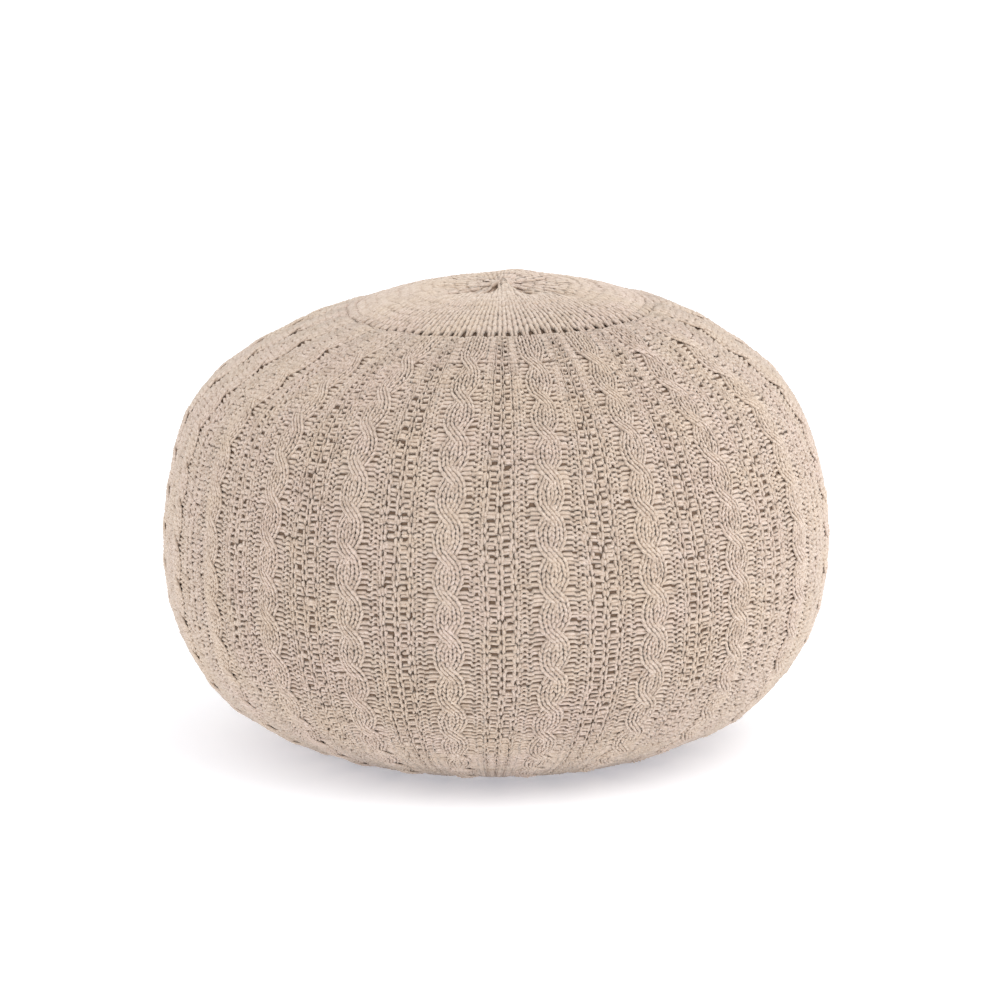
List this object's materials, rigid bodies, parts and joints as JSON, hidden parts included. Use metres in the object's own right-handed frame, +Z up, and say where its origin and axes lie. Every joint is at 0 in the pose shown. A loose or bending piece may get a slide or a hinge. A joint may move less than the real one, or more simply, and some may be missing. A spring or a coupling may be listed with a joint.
{
  "type": "knitted pouf",
  "caption": "Round filled pouf in a cable-knit cover, with a gathered crown, bulging sides and a flat base.",
  "frame": {"origin": "centre of the base, on the floor", "axes": "+Z up through the gathered middle of the crown, -Y towards the picture's viewer"},
  "size_m": [0.503, 0.5025, 0.3517],
  "materials": {
    "knit_cover": "matte"
  },
  "bodies": {
    "root": {"pouf": "knit_cover"}
  },
  "joints": []
}
